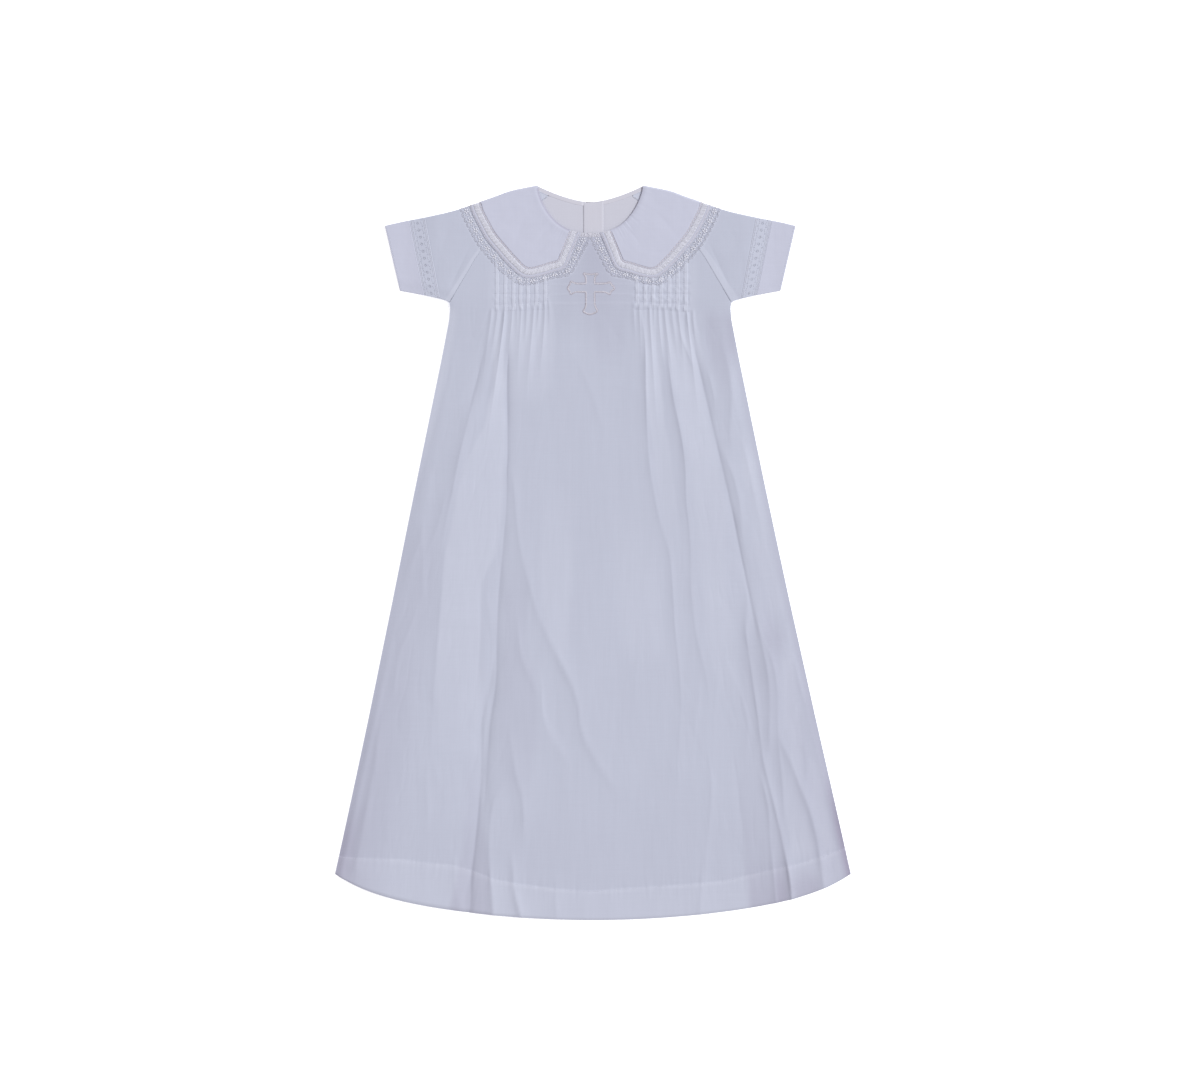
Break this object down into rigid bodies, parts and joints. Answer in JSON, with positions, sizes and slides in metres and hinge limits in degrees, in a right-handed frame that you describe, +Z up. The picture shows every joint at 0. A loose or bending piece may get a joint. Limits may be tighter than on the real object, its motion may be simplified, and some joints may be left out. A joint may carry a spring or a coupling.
{
  "type": "christening gown",
  "caption": "Infant's long white gown laid flat, with short raglan sleeves, a lace-edged two-part collar, fine chest tucks and a deep turned hem.",
  "frame": {"origin": "under the middle of the gown's bounding box, on the plane it lies on", "axes": "+Z up out of the front panel, +Y from hem to neck, +X to the right as seen from above; left and right in the names are as seen from above"},
  "size_m": [0.4918, 0.7014, 0.0066],
  "materials": {
    "batiste": "fine plain weave, soft",
    "batiste_double": "fine plain weave, two layers",
    "ladder_band": "hemstitched strip",
    "lace": "cotton lace",
    "thread": "satin stitch and sewing thread",
    "button": "pearly"
  },
  "bodies": {
    "root": {"front": "batiste", "back": "batiste", "sleeve_left": "batiste", "sleeve_right": "batiste", "sleeve_insertion_left": "lace", "sleeve_insertion_right": "lace", "cuff_left": "batiste_double", "cuff_right": "batiste_double", "collar_left": "batiste_double", "collar_right": "batiste_double", "collar_band_left": "ladder_band", "collar_band_right": "ladder_band", "collar_lace_left": "lace", "collar_lace_right": "lace", "neck_binding": "batiste_double", "placket_over": "batiste_double", "placket_under": "batiste_double", "button_top": "button", "button_middle": "button", "button_low": "button"}
  },
  "joints": []
}
